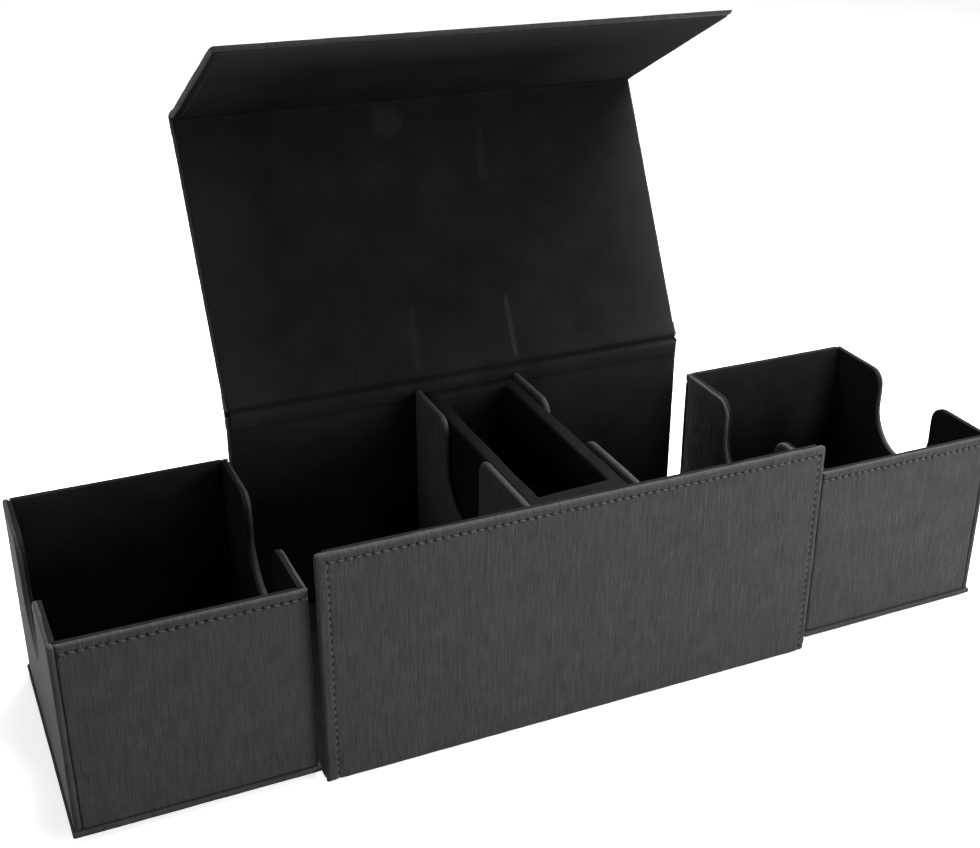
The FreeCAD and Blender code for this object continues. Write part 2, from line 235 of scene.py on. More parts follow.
PITCH = 3.1 * MM              # from one stitch to the next
CELL = PITCH / 2              # the sewn panels' faces are cut this fine
SEAM_CUTS = 2                 # further cuts of each cell beside a sewn line
SEAM_LIP = 0.9 * MM           # from the sewn line to where the face is level again
GROOVE = 0.12 * MM            # how deep the thread lies
HOLE = (0.75 * MM, 0.66 * MM, 1.15 * MM)  # a needle hole's half length, half width and depth
SIDE_HOLE = (0.7 * MM, 0.42 * MM, 0.75 * MM)  # the same on the closer side seams
SIDE_STITCH_DROP = 0.12 * MM  # how much deeper the thread lies there
HEM_RISE = 0.14 * MM          # how far the turned hem stands proud
PUCKER = 0.15 * MM            # how far the leatherette swells between two holes
HEM_SWELL = 0.6               # the share of that swell that goes on into the hem
LIP_SWELL = 1.6               # how fast it grows away from the thread
FACE_SINK = 0.15 * MM         # how far the covering's face lies under its puckers
PRESS_STEP = 0.08 * MM        # relief is pressed in steps of this height

STITCH = (2.3 * MM, 0.5 * MM, 0.55 * MM)  # a stitch's length, width and height
STITCH_SLANT = math.radians(-14)
INSIDE_STITCH = (1.5 * MM, 0.4 * MM, 0.4 * MM)
INSIDE_INSET = 0.6 * MM       # from the lining's edge to the thread that shows inside
INSIDE_STITCH_DROP = 0.08 * MM

SEAM_INSET = 3.4 * MM         # from an edge to its sewn line
FRONT_SEAMS = {"top": SEAM_INSET, "left": 4.0 * MM, "right": 2.9 * MM}
BACK_SEAMS = {"left": 4.0 * MM, "right": 4.0 * MM}
LID_SEAMS = {"left": SEAM_INSET, "right": SEAM_INSET}
FLAP_SEAMS = {"top": SEAM_INSET, **LID_SEAMS}

LINING_CELL = 4 * MM
LINING_SINK = 0.1 * MM        # how far a lining's face lies under its CAD face
LINING_EDGE = 0.2 * MM
SUEDE_OVER = 1.8 * MM         # how far the suede covers the leatherette beside it
RIM_LIFT = 0.1 * MM           # how far the suede stands over a drawer's rim
RIM_COVER = 1.2 * MM          # how far the suede reaches over a rim
BACK_COVER = 1.9 * MM         # the same on a drawer's back
FRONT_COVER = 1.5 * MM        # the same on the case's front

NOTCH_CORNER = 7 * MM
NOTCH_GAP = 0.1 * MM          # from a notch's edge to the suede round it
DRAWER_NOTCH = (36 * MM, 34 * MM)
BAY_NOTCH = (32.5 * MM, 36.5 * MM)
BAY_NOTCH_SETBACK = 5.2 * MM  # how far behind the middle a partition's notch lies

CASE_EDGE = 1.35 * MM         # how round the rims of the covered boards are
CASE_BASE_EDGE = 0.5 * MM
PARTITION_EDGE = 1.4 * MM
LID_EDGE = 1.2 * MM
DRAWER_EDGE = 1.0 * MM
DRAWER_END_EDGE = 1.1 * MM
DRAWER_BASE_EDGE = 0.8 * MM
NOTCH_SUEDE_EDGE = 0.25 * MM
BEND_EDGE = 0.5 * MM          # the same on the leatherette over the hinge and the fold

FLAP_THINNED = 1.6 * MM       # how much thinner the flap is at its tip
THIN_STEPS = 5                # it thins in this many steps of a millimetre
THIN_AT_SEAM = 0.4            # the share of the thinning at the sewn line
WORN_STEPS = ((3.2 * MM, 0.15 * MM), (1.6 * MM, 0.35 * MM))  # reach and wear of a corner

COVER_UNEVEN = (0.2 * MM, 9 * MM)  # how uneven hand work leaves a face, and over what distance
NOTCHED_UNEVEN = (0.3 * MM, 12 * MM)
LINING_UNEVEN = (0.15 * MM, 22 * MM)
BEND_UNEVEN = (0.12 * MM, 7 * MM)
TRAY_UNEVEN = (0.7 * MM, 14 * MM)

leather_x = leatherette("leatherette_across_x", 0)
leather_y = leatherette("leatherette_across_y", 1)
suede_dark = suede("suede_black", 0.016)
# The tray's suede is a darker copy of the same suede: painted shade for its deep well.
suede_darkened_for_shade = suede("suede_tray", 0.012)
thread = cotton("thread_charcoal", 0.11)
thread_inside = cotton("thread_grey", 0.03)
plated = steel("magnet_steel")
wrapped_end = (leather_y, "leatherette")
lined_end = (suede_dark, "suede")

joints = {joint["name"]: joint for joint in frame["joints"]}


def extent(nodes, axis):
    """The lowest and highest place of CAD nodes along an axis."""
    along = []
    for node in nodes:
        shape = frame["nodes"][node]
        along += [(shape.matrix_world @ vertex.co).dot(axis) for vertex in shape.data.vertices]
    return min(along), max(along)


class Facing:
    """Where a panel stands: its own axes, its middle and its width, height and thickness."""

    def __init__(self, nodes, out, up):
        self.out = out
        self.up = up
        self.along = up.cross(out)
        spans = [extent(nodes, axis) for axis in (self.along, up, out)]
        self.width, self.height, self.depth = [high - low for low, high in spans]
        middle = [(low + high) / 2 for low, high in spans]
        self.centre = self.along * middle[0] + up * middle[1] + out * spans[2][1]

    def raise_to(self, top):
        """Move the upper edge to another height."""
        rise = top - (self.centre.dot(self.up) + self.height / 2)
        self.height += rise
        self.centre += self.up * rise / 2

    def sink(self, amount):
        """Move the outer face inwards and leave the back where it is."""
        self.centre -= self.out * amount
        self.depth -= amount

    def widen(self, amount):
        """Move both side edges outwards."""
        self.width += 2 * amount

    def matrix(self):
        """The place of the outer face's middle."""
        turn = Matrix((self.along, self.up, self.out)).transposed().to_4x4()
        return Matrix.Translation(self.centre) @ turn


def primitive(make, name, **settings):
    """Add one primitive, alone in the selection."""
    bpy.ops.object.select_all(action="DESELECT")
    make(**settings)
    piece = bpy.context.object
    piece.name = name
    piece.data.name = name
    return piece


def pick(piece, wanted, kind="vertices"):
    """Select the vertices, edges or faces whose middle passes a test, and enter edit mode."""
    bpy.ops.object.select_all(action="DESELECT")
    bpy.context.view_layer.objects.active = piece
    piece.select_set(True)
    mode = {"vertices": "VERT", "edges": "EDGE", "faces": "FACE"}[kind]
    bpy.ops.object.mode_set(mode="EDIT")
    bpy.ops.mesh.select_mode(type=mode)
    bpy.ops.mesh.select_all(action="DESELECT")
    bpy.ops.object.mode_set(mode="OBJECT")
    points = piece.data.vertices
    for element in getattr(piece.data, "polygons" if kind == "faces" else kind):
        if kind == "vertices":
            element.select = wanted(element.co)
        else:
            middle = sum((points[i].co for i in element.vertices), Vector()) / len(element.vertices)
            element.select = wanted(middle)
    bpy.ops.object.mode_set(mode="EDIT")


def leave(piece):
    """Go back to object mode."""
    bpy.ops.object.mode_set(mode="OBJECT")
    return piece


def push(piece, wanted, vector):
    """Move the vertices that pass a test."""
    pick(piece, wanted)
    bpy.ops.transform.translate(value=vector)
    leave(piece)


def slice_at(piece, axis, places):
    """Cut all round the piece at each place along an axis."""
    pick(piece, lambda point: True)
    for place in places:
        bpy.ops.mesh.select_all(action="SELECT")
        bpy.ops.mesh.bisect(plane_co=axis * place, plane_no=axis)
    leave(piece)


def modify(piece, kind, **settings):
    """Add a modifier and apply it."""
    bpy.context.view_layer.objects.active = piece
    modifier = piece.modifiers.new(kind.lower(), kind)
    for title, value in settings.items():
        setattr(modifier, title, value)
    bpy.ops.object.modifier_apply(modifier=modifier.name)
    return piece


def sheet_grid(name, width, height, cell):
    """A level rectangle, cut into cells."""
    columns, rows = [max(2, 2 * round(side / cell / 2)) for side in (width, height)]
    grid = bpy.ops.mesh.primitive_grid_add
    piece = primitive(grid, name, size=1, x_subdivisions=columns, y_subdivisions=rows)
    piece.scale = (width, height, 1)
    bpy.ops.object.transform_apply(scale=True)
    return piece


def round_edges(piece, width, segments):
    """Round the sharp edges."""
    limit = {"limit_method": "ANGLE", "angle_limit": SHARP}
    return modify(piece, "BEVEL", width=width, segments=segments, **limit)


def thicken(piece, depth, edge, segments=4):
    """Give a sheet its thickness, below its face, and round its sharp edges."""
    modify(piece, "SOLIDIFY", thickness=depth, offset=-1)
    return round_edges(piece, edge, segments)


def thicken_panel(piece, facing, edge):
    """Give a sewn rectangle its thickness and a flat back, and round its rim alone."""
    depth = facing.depth
    modify(piece, "SOLIDIFY", thickness=depth, offset=-1)
    pick(piece, lambda p: p.z < -depth / 2)
    bpy.ops.transform.resize(value=(1, 1, 0), center_override=(0, 0, -depth))
    leave(piece)
    near = 0.05 * MM

    def on_rim(p):
        """True on the four upright corners and all round both faces."""
        at_side = abs(p.x) > facing.width / 2 - near
        at_end = abs(p.y) > facing.height / 2 - near
        in_wall = -0.9 * depth < p.z < -0.2 * depth
        return at_side and at_end or (at_side or at_end) and not in_wall

    pick(piece, on_rim, "edges")
    bpy.ops.mesh.bevel(offset=edge, segments=4, affect="EDGES", clamp_overlap=False)
    return leave(piece)


def by_hand(piece, amount, scale):
    """Take the machine-made evenness off a covered surface."""
    cloud = bpy.data.textures.new(piece.name, "CLOUDS")
    cloud.noise_scale = scale
    cloud.noise_depth = 1
    modify(piece, "DISPLACE", texture=cloud, strength=amount, texture_coords="LOCAL")
    return piece


def finish_piece(piece, matrix, material, body, nodes=(), slot="leatherette", angle=HARD_ANGLE):
    """Put a piece in its place, with its finish, on its body."""
    piece.data.transform(matrix)
    piece.data.materials.clear()
    piece.data.materials.append(material)
    bpy.ops.object.select_all(action="DESELECT")
    bpy.context.view_layer.objects.active = piece
    piece.select_set(True)
    bpy.ops.object.shade_smooth_by_angle(angle=math.radians(angle))
    if body:
        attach(piece, body)
    if nodes:
        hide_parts(*nodes)
    return piece


class SewnLine:
    """One straight sewn line along a side of a panel's face."""

    def __init__(self, facing, seams, side):
        self.level = side in ("top", "bottom")
        self.across = 1 if self.level else 0
        self.hole = HOLE if self.level else SIDE_HOLE
        self.along = 1 - self.across
        self.sign = 1 if side in ("top", "right") else -1
        self.reach = (facing.height if self.level else facing.width) / 2
        self.line = self.sign * (self.reach - seams[side])
        self.length = (facing.width if self.level else facing.height) / 2
        low_side, high_side = ("left", "right") if self.level else ("bottom", "top")
        self.low = -self.length + seams.get(low_side, 0)
        self.high = self.length - seams.get(high_side, 0)
        self.count = round((self.high - self.low) / PITCH)
        self.pitch = (self.high - self.low) / self.count

    def outward(self, point):
        """How far a point lies from the line, towards the rim."""
        return self.sign * (point[self.across] - self.line)

    def beside(self, point):
        """True from the line's inner lip to the last cells before the rim."""
        in_band = self.outward(point) > -SEAM_LIP * 1.01
        off_rim = abs(point[self.across]) < self.reach - CELL
        off_ends = abs(point[self.along]) < self.length - CELL
        return in_band and off_rim and off_ends and self.covers(point)

    def covers(self, point):
        """True between the line's two ends."""
        return self.low - CELL / 2 < point[self.along] < self.high + CELL / 2

    def settle_rows(self, piece):
        """Shift the three nearest rows of cells onto the line and its two lips."""
        steps = max(2, 2 * round(2 * self.reach / CELL / 2))
        cell = 2 * self.reach / steps
        row = max(2, round((self.reach - abs(self.line)) / cell))
        for offset in (-1, 0, 1):
            old = self.sign * (self.reach - (row + offset) * cell)
            new = self.line - self.sign * offset * SEAM_LIP
            shift = [0, 0, 0]
            shift[self.across] = new - old
            push(piece, lambda p: abs(p[self.across] - old) < cell * 0.2, shift)

    def depth(self, point):
        """How deep the face is drawn in at a point, or how far it swells, below zero."""
        if not self.covers(point):
            return 0
        outward = self.outward(point)
        if outward < -SEAM_LIP * 1.1:
            return 0
        turns = (point[self.along] - self.low) / self.pitch
        from_hole = abs(turns - round(turns)) * self.pitch
        swell = PUCKER * (from_hole / self.pitch * 4 - 1)
        if outward > SEAM_LIP:
            return -HEM_RISE - swell * HEM_SWELL
        groove = GROOVE * (1 - abs(outward) / SEAM_LIP)
        half_length, half_width, deep = self.hole
        hole = max(0, 1 - (from_hole / half_length) ** 2) * max(0, 1 - (outward / half_width) ** 2)
        rise = HEM_RISE * max(0, outward / SEAM_LIP)
        lip = swell * min(1, abs(outward) / SEAM_LIP * LIP_SWELL)
        return groove + hole * deep - rise - lip


def press(piece, depth):
    """Press relief into a level face, in small steps."""
    depths = [depth(vertex.co) for vertex in piece.data.vertices]
    for step in range(round(min(depths) / PRESS_STEP), round(max(depths) / PRESS_STEP) + 1):
        if step:
            push(piece, lambda p: round(depth(p) / PRESS_STEP) == step, (0, 0, -step * PRESS_STEP))


def sew(piece, lines):
    """Draw the sewn lines into a panel's face."""
    for line in lines:
        line.settle_rows(piece)
    pick(piece, lambda p: any(line.beside(p) for line in lines), "faces")
    bpy.ops.mesh.subdivide(number_cuts=SEAM_CUTS)
    leave(piece)
    press(piece, lambda p: max((line.depth(p) for line in lines), key=abs))


def stitch_row(name, line, size):
    """The stitches of one sewn line, along X."""
    sphere = bpy.ops.mesh.primitive_uv_sphere_add
    stitch = primitive(sphere, name, segments=6, ring_count=5, radius=0.5)
    stitch.rotation_euler = (0, math.pi / 2, 0)
    bpy.ops.object.transform_apply(rotation=True)
    stitch.scale = size
    stitch.rotation_euler = (0, 0, STITCH_SLANT)
    bpy.ops.object.transform_apply(rotation=True, scale=True)
    spacing = {"use_constant_offset": True, "constant_offset_displace": (line.pitch, 0, 0)}
    modify(stitch, "ARRAY", count=line.count, use_relative_offset=False, **spacing)
    stitch.data.transform(Matrix.Translation((line.low + line.pitch / 2, 0, 0)))
    return stitch


def stitches(name, facing, seams, body, drop, size=STITCH, finish=None, top_drop=0.0):
    """The thread of a panel's sewn lines, a drop below its face."""
    rows = []
    for side in seams:
        line = SewnLine(facing, seams, side)
        row = stitch_row(name, line, size)
        if line.level:
            turned = Matrix.Translation((0, line.line, -drop - top_drop))
        else:
            place = Matrix.Translation((line.line, 0, -drop - SIDE_STITCH_DROP))
            turned = place @ Matrix.Rotation(math.pi / 2, 4, "Z")
        row.data.transform(turned)
        rows.append(row)
    bpy.ops.object.select_all(action="DESELECT")
    for row in rows:
        row.select_set(True)
    bpy.context.view_layer.objects.active = rows[0]
    if len(rows) > 1:
        bpy.ops.object.join()
    return finish_piece(rows[0], facing.matrix(), finish or thread, body)


def wear_corner(piece, facing):
    """Take the sharpness off the lower right corner of a panel."""
    for reach, amount in WORN_STEPS:
        side = facing.width / 2 - reach
        end = facing.height / 2 - reach
        push(piece, lambda p: p.x > side and p.y < -end, (-amount, amount, 0))


def panel(name, nodes, out, up, body, seams, edge, thinned=0.0, worn=False):
    """A board wrapped in leatherette, with sewn hems, perhaps thinned at its top or worn."""
    facing = Facing(nodes, out, up)
    facing.sink(FACE_SINK)
    piece = sheet_grid(name, facing.width, facing.height, CELL if seams else LINING_CELL)
    if seams:
        sew(piece, [SewnLine(facing, seams, side) for side in seams])
        top_drop = thinned * THIN_AT_SEAM
        stitches(name + "_stitches", facing, seams, body, GROOVE, top_drop=top_drop)
    thicken_panel(piece, facing, edge)
    if thinned:
        lowered = (0, 0, -thinned / THIN_STEPS)
        for reach in range(1, THIN_STEPS + 1):
            start = facing.height / 2 - reach * MM
            push(piece, lambda p: p.y > start and p.z > -facing.depth / 2, lowered)
    if worn:
        wear_corner(piece, facing)
    by_hand(piece, *COVER_UNEVEN)
    return finish_piece(piece, facing.matrix(), leather_x, body, nodes)


def cut_notch(piece, facing, wide, deep, corner, aside=0.0):
    """Cut a thumb notch with a round bottom into the top of a level plate."""
    side = wide / 2
    top = facing.height / 2
    slice_at(piece, X, (aside - side, aside + side))
    slice_at(piece, Y, (top - deep,))
    pick(piece, lambda p: abs(p.x - aside) < side and p.y > top - deep, "faces")
    bpy.ops.mesh.delete(type="FACE")
    bpy.ops.mesh.select_all(action="SELECT")
    bpy.ops.mesh.dissolve_limited(angle_limit=math.radians(1))
    leave(piece)
    near = 0.01 * MM
    for level, radius, segments in ((top, corner, 10), (top - deep, side * 0.9999, 18)):
        pick(piece, lambda p: abs(abs(p.x - aside) - side) < near and abs(p.y - level) < near)
        bpy.ops.mesh.bevel(offset=radius, segments=segments, affect="VERTICES", clamp_overlap=False)
        bpy.ops.mesh.select_all(action="SELECT")
        bpy.ops.mesh.remove_doubles(threshold=near)
        leave(piece)


def notched_panel(name, nodes, out, body, notch, edge, finish, top=None, deeper=0.0):
    """A board or lining with a thumb notch in its top edge."""
    material, slot = finish
    facing = Facing(nodes, out, Z)
    facing.depth += deeper
    if top is not None:
        facing.raise_to(top)
    piece = primitive(bpy.ops.mesh.primitive_plane_add, name, size=1)
    piece.scale = (facing.width, facing.height, 1)
    bpy.ops.object.transform_apply(scale=True)
    cut_notch(piece, facing, *notch)
    thicken(piece, facing.depth, edge)
    for axis, length in ((X, facing.width), (Y, facing.height)):
        count = round(length / LINING_CELL)
        slice_at(piece, axis, [length * ((step + 0.5) / count - 0.5) for step in range(count)])
    by_hand(piece, *NOTCHED_UNEVEN)
    return finish_piece(piece, facing.matrix(), material, body, nodes, slot)


def lining(name, out, up, body, top=None, wider=0.0, finish=None, deeper=0.0):
    """Suede glued flat on a board: to its CAD edges, to another top, wider, or over the rim."""
    nodes = [name.replace("_suede", "_lining")]
    facing = Facing(nodes, out, up)
    facing.depth += deeper
    facing.widen(wider)
    facing.sink(LINING_SINK)
    if top is not None:
        facing.raise_to(top)
    piece = sheet_grid(name, facing.width, facing.height, LINING_CELL)
    thicken(piece, facing.depth, LINING_EDGE, 2)
    by_hand(piece, *LINING_UNEVEN)
    return finish_piece(piece, facing.matrix(), finish or suede_dark, body, nodes, "suede")


def wrapped_case():
    """The case: its front and back, its floor and the two partitions."""
    front = ["case_front_panel"]
    panel("case_front_cover", front, -Y, Z, "case", FRONT_SEAMS, CASE_EDGE, worn=True)
    panel("case_back_cover", ["case_back_panel"], Y, Z, "case", BACK_SEAMS, CASE_EDGE)
    panel("case_base_cover", ["case_base_board"], -Z, Y, "case", {}, CASE_BASE_EDGE)
    lining("case_front_suede", Y, Z, "case", top=extent(front, Z)[1], deeper=FRONT_COVER)
    lining("case_back_suede", -Y, Z, "case", wider=SUEDE_OVER)
    lining("case_floor_suede", Z, Y, "case")
    for side, out in (("left", -X), ("right", X)):
        name = side + "_partition"
        aside = Z.cross(out).dot(Y) * BAY_NOTCH_SETBACK
        notch = (*BAY_NOTCH, NOTCH_CORNER, aside)
        notched_panel(name + "_cover", [name], out, "case", notch, PARTITION_EDGE, wrapped_end)


def wrapped_drawer(side, outer):
    """One card drawer: base, two plain walls, two notched ends and their suede."""
    body = side + "_drawer"
    seams = {"top": SEAM_INSET}
    panel(body + "_front_cover", [body + "_front_wall"], -Y, Z, body, seams, DRAWER_EDGE)
    panel(body + "_back_cover", [body + "_back_wall"], Y, Z, body, seams, DRAWER_EDGE)
    panel(body + "_base_cover", [body + "_base"], -Z, Y, body, {}, DRAWER_BASE_EDGE)
    rim = extent([body + "_front_wall"], Z)[1] + RIM_LIFT
    wide, deep = DRAWER_NOTCH
    notch = (wide, deep, NOTCH_CORNER)
    suede_notch = (wide + 2 * NOTCH_GAP, deep + NOTCH_GAP + RIM_LIFT, NOTCH_CORNER - NOTCH_GAP)
    for end, out in (("_outer", outer), ("_inner", -outer)):
        name = body + end
        board, suede_sheet = [name + "_end"], [name + "_lining"]
        notched_panel(name + "_cover", board, out, body, notch, DRAWER_END_EDGE, wrapped_end)
        over_rim = (suede_notch, NOTCH_SUEDE_EDGE, lined_end, rim, RIM_COVER)
        notched_panel(name + "_suede", suede_sheet, -out, body, *over_rim)
    lining(body + "_front_suede", Y, Z, body, top=rim, deeper=RIM_COVER)
    lining(body + "_back_suede", -Y, Z, body, top=rim, deeper=BACK_COVER)
    lining(body + "_floor_suede", Z, Y, body)


class Fold:
    """A line that two boards turn about: its place and each board's direction and outward side."""

    def __init__(self, joint, first, second):
        self.pivot = Vector(joints[joint]["pos_m"])
        self.pivot.x = 0
        self.sides = (first, second)

    def at(self, side, reach, height):
        """A place beside the fold line, out along one board and off its middle, in millimetres."""
        direction, outward = self.sides[side]
        return self.pivot + (direction * reach + outward * height) * MM


def fold_cover(name, places, width):
    """A strip of covering over a fold. The places are its outer face's rows."""
    rows = len(places) - 1
    columns = 2 * round(width / CELL / 4)
    grid = bpy.ops.mesh.primitive_grid_add
    piece = primitive(grid, name, size=1, x_subdivisions=columns, y_subdivisions=rows)
    piece.scale = (width, 1, 1)
    bpy.ops.object.transform_apply(scale=True)
    for step, place in enumerate(places):
        level = step / rows - 0.5

        def on_row(p):
            return abs(p.z) < 1e-6 and abs(p.y - level) < 0.4 / rows

        push(piece, on_row, place - Y * level)
    return piece


def tuck(piece, middle, radius, amount):
    """Draw both ends of a strip in at a fold."""
    ends = max(abs(vertex.co.x) for vertex in piece.data.vertices)
    for sign in (-1, 1):
        for reach in (radius, radius * 0.6):

            def near_fold(p):
                return sign * p.x > ends - MM and (Vector((0, p.y, p.z)) - middle).length < reach

            push(piece, near_fold, (-sign * amount / 2, 0, 0))


def finish_fold(piece, depth, edge, material, nodes=()):
    """Give a strip its thickness, an uneven face and its finish, on no body."""
    thicken(piece, depth, edge, 2)
    by_hand(piece, *BEND_UNEVEN)
    slot = "leatherette" if nodes else "suede"
    finish_piece(piece, Matrix.Identity(4), material, None, nodes, slot, SOFT_ANGLE)
    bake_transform(piece)


def cover_width():
    """The width of the leatherette over the hinge and the fold."""
    return 2 * extent(["lid_board"], X)[1]


def suede_width():
    """The width of the suede over the hinge and the fold."""
    return 2 * (extent(["lid_lining"], X)[1] + SUEDE_OVER)


# The rows of a strip's outer face, in millimetres: which side of the fold line, 0 for the first
# board and 1 for the second, then how far out along that board and how far off its middle.
HINGE_OUTSIDE = (
    (1, 7.0, 1.5), (1, 6.2, 1.66), (1, 4.5, 1.68), (1, 3.0, 1.68), (1, 2.0, 1.62), (1, 1.3, 1.5),
    (1, 0.7, 1.36), (1, 0.2, 1.3), (0, 0.3, 1.3), (0, 0.8, 1.32), (0, 1.3, 1.42), (0, 2.0, 1.56),
    (0, 3.0, 1.67), (0, 4.5, 1.68), (0, 6.2, 1.66), (0, 7.0, 1.5),
)
HINGE_INSIDE = (
    (0, 7.4, -1.85), (0, 7.1, -2.15), (0, 6.5, -2.4), (0, 5.2, -2.46), (0, 3.8, -2.5),
    (0, 2.6, -2.5), (0, 1.9, -2.36), (0, 1.3, -1.95), (0, 0.7, -1.45), (0, 0.2, -1.2),
    (1, 0.1, -1.25), (1, 0.5, -1.5), (1, 1.0, -1.8), (1, 1.7, -1.98), (1, 2.8, -1.98),
    (1, 4.2, -1.86), (1, 6.0, -1.66), (1, 8.0, -1.5), (1, 8.6, -1.4),
)
# The fold is the same on both sides, so its rows give only how far out and how far off.
FOLD_SKIN = 1.68
FOLD_OUTSIDE = (
    (7, 1.5), (6.2, 1.66), (4.5, FOLD_SKIN), (3, FOLD_SKIN),
    (2.0, FOLD_SKIN), (1.0, FOLD_SKIN), (0.3, FOLD_SKIN),
)
FOLD_INSIDE = (
    (7.0, -1.38), (6.2, -1.52), (5.0, -1.58), (4.0, -1.62), (3.2, -1.62), (2.6, -1.62), (2.1, -1.6),
)


def hinge_cover(lid_up, lid_out, suede_lid):
    """The leatherette and the suede that run from the case's back over the hinge to the lid."""
    fold = Fold("lid_hinge", (-Z, Y), (lid_up, lid_out))
    piece = fold_cover("hinge_cover", [fold.at(*row) for row in HINGE_OUTSIDE], cover_width())
    tuck(piece, fold.pivot + Y * 1.4 * MM, 2.6 * MM, -0.1 * MM)
    finish_fold(piece, 2.5 * MM, BEND_EDGE, leather_x, ["lid_hinge_strip"])
    piece = fold_cover("hinge_suede", [fold.at(*row) for row in HINGE_INSIDE], suede_width())
    tuck(piece, fold.pivot - Y * 1.6 * MM, 2.8 * MM, 0.3 * MM)
    finish_fold(piece, 0.5 * MM, LINING_EDGE, suede_lid)


def fold_line_cover(lid_up, lid_out, suede_lid):
    """The leatherette and the suede that run over the fold between the lid and its flap."""
    flap_up = -lid_out
    fold = Fold("flap_fold", (-lid_up, lid_out), (flap_up, lid_up))
    angles = [math.radians(degrees) for degrees in (82.5, 67.5, 52.5, 37.5, 22.5, 7.5)]
    bend = [lid_up * math.sin(angle) + lid_out * math.cos(angle) for angle in angles]
    places = [fold.at(1, *row) for row in FOLD_OUTSIDE]
    places += [fold.pivot + direction * FOLD_SKIN * MM for direction in bend]
    places += [fold.at(0, *row) for row in reversed(FOLD_OUTSIDE)]
    piece = fold_cover("fold_cover", places, cover_width())
    finish_fold(piece, 1.2 * MM, BEND_EDGE, leather_x, ["lid_fold_strip"])
    places = [fold.at(0, *row) for row in FOLD_INSIDE]
    places += [fold.at(1, *row) for row in reversed(FOLD_INSIDE)]
    piece = fold_cover("fold_suede", places, suede_width())
    finish_fold(piece, 0.4 * MM, 0.15 * MM, suede_lid)


def marks_on(origin, up, prints_and_painted_shading):
    """Put prints and painted light and shade, given in millimetres along X and up a board, in their
    place on it.
    """
    for *ends, half_width, soft, strength, tone in prints_and_painted_shading:
        start, end = [origin + (X * x + up * reach) * MM for x, reach in ends]
        yield start, end, half_width * MM, soft * MM, strength, tone


# Each mark's ends, half width, soft border, strength and tone: a round magnet's print, three
# faint creases, painted light at both sides, and painted shade at the fold and in the hinge.
LID_PRINTS_AND_PAINTED_SHADING = (
    ((-14.3, 105.7), (-14.3, 105.8), 4.5, 3.5, 0.5, 2.6),
    ((23.2, 4.0), (23.2, 28.0), 0.2, 1.3, 0.6, 2.6),
    ((-20.4, 4.0), (-18.4, 29.0), 0.2, 2.2, 0.2, 2.5),
    ((24.9, 103.6), (23.7, 79.2), 0.3, 2.6, 0.2, 2.5),
    # These two are painted light at the lid's sides.
    ((-99.0, 2.0), (-99.0, 104.0), 0.0, 28.0, 0.35, 2.5),
    ((99.0, 2.0), (99.0, 104.0), 0.0, 22.0, 0.35, 2.5),
    # These two are painted shade under the fold and in the hinge crease.
    ((-99.0, 113.0), (99.0, 113.0), 3.0, 30.0, 0.5, 0.5),
    ((-99.0, 0.2), (99.0, 0.2), 0.3, 1.6, 0.6, 0.35),
)
# The same on the flap: painted light along its free edges and painted shade at the fold.
FLAP_PAINTED_SHADING = (
    # All four are painted: light along the free edge and both sides, shade at the fold.
    ((-99.0, 91.0), (99.0, 91.0), 3.0, 34.0, 0.8, 3.0),
    ((99.0, 20.0), (99.0, 91.0), 0.0, 60.0, 0.7, 3.0),
    ((-99.0, 10.0), (-99.0, 91.0), 0.0, 34.0, 0.5, 2.8),
    ((-99.0, 0.0), (99.0, 0.0), 4.0, 34.0, 0.4, 0.5),
)


MARK_DEPTH = 1.6 * MM         # from a board's middle to its suede


def wrapped_lid():
    """The lid and its flap."""
    hinge = Vector(joints["lid_hinge"]["pos_m"])
    fold = Vector(joints["flap_fold"]["pos_m"])
    hinge.x = fold.x = 0
    lid_up = (fold - hinge).normalized()
    lid_out = X.cross(lid_up) * -1
    panel("lid_cover", ["lid_board"], lid_out, lid_up, "lid", LID_SEAMS, LID_EDGE)
    # The lid's suede carries its prints and painted light and painted shade.
    lid_prints_and_painted_shading = marks_on(hinge - lid_out * MARK_DEPTH, lid_up, LID_PRINTS_AND_PAINTED_SHADING)
    suede_lid = suede("suede_lid", 0.014, lid_prints_and_painted_shading)
    lining("lid_suede", -lid_out, lid_up, "lid", wider=SUEDE_OVER, finish=suede_lid)
    flap_up = X.cross(lid_up)
    flap_out = lid_up
    flap = ["flap_board"]
    panel("flap_cover", flap, flap_out, flap_up, "flap", FLAP_SEAMS, LID_EDGE, FLAP_THINNED)
    # The flap's suede carries painted light at its free edges and painted shade at the fold.
    flap_painted_shading = marks_on(fold - flap_out * MARK_DEPTH, flap_up, FLAP_PAINTED_SHADING)
    suede_flap = suede("suede_flap", 0.014, flap_painted_shading)
    lining("flap_suede", -flap_out, flap_up, "flap", wider=SUEDE_OVER, finish=suede_flap)
    facing = Facing(["flap_lining"], -flap_out, flap_up)
    thread_ends = ({"left": INSIDE_INSET}, "flap", INSIDE_STITCH_DROP, INSIDE_STITCH, thread_inside)
    stitches("flap_inside_stitches", facing, *thread_ends)
    hinge_cover(lid_up, lid_out, suede_lid)
    fold_line_cover(lid_up, lid_out, suede_lid)


TRAY_CELL = 5 * MM
WELL_SKEW = 2 * MM            # how much further back one front corner of the well lies


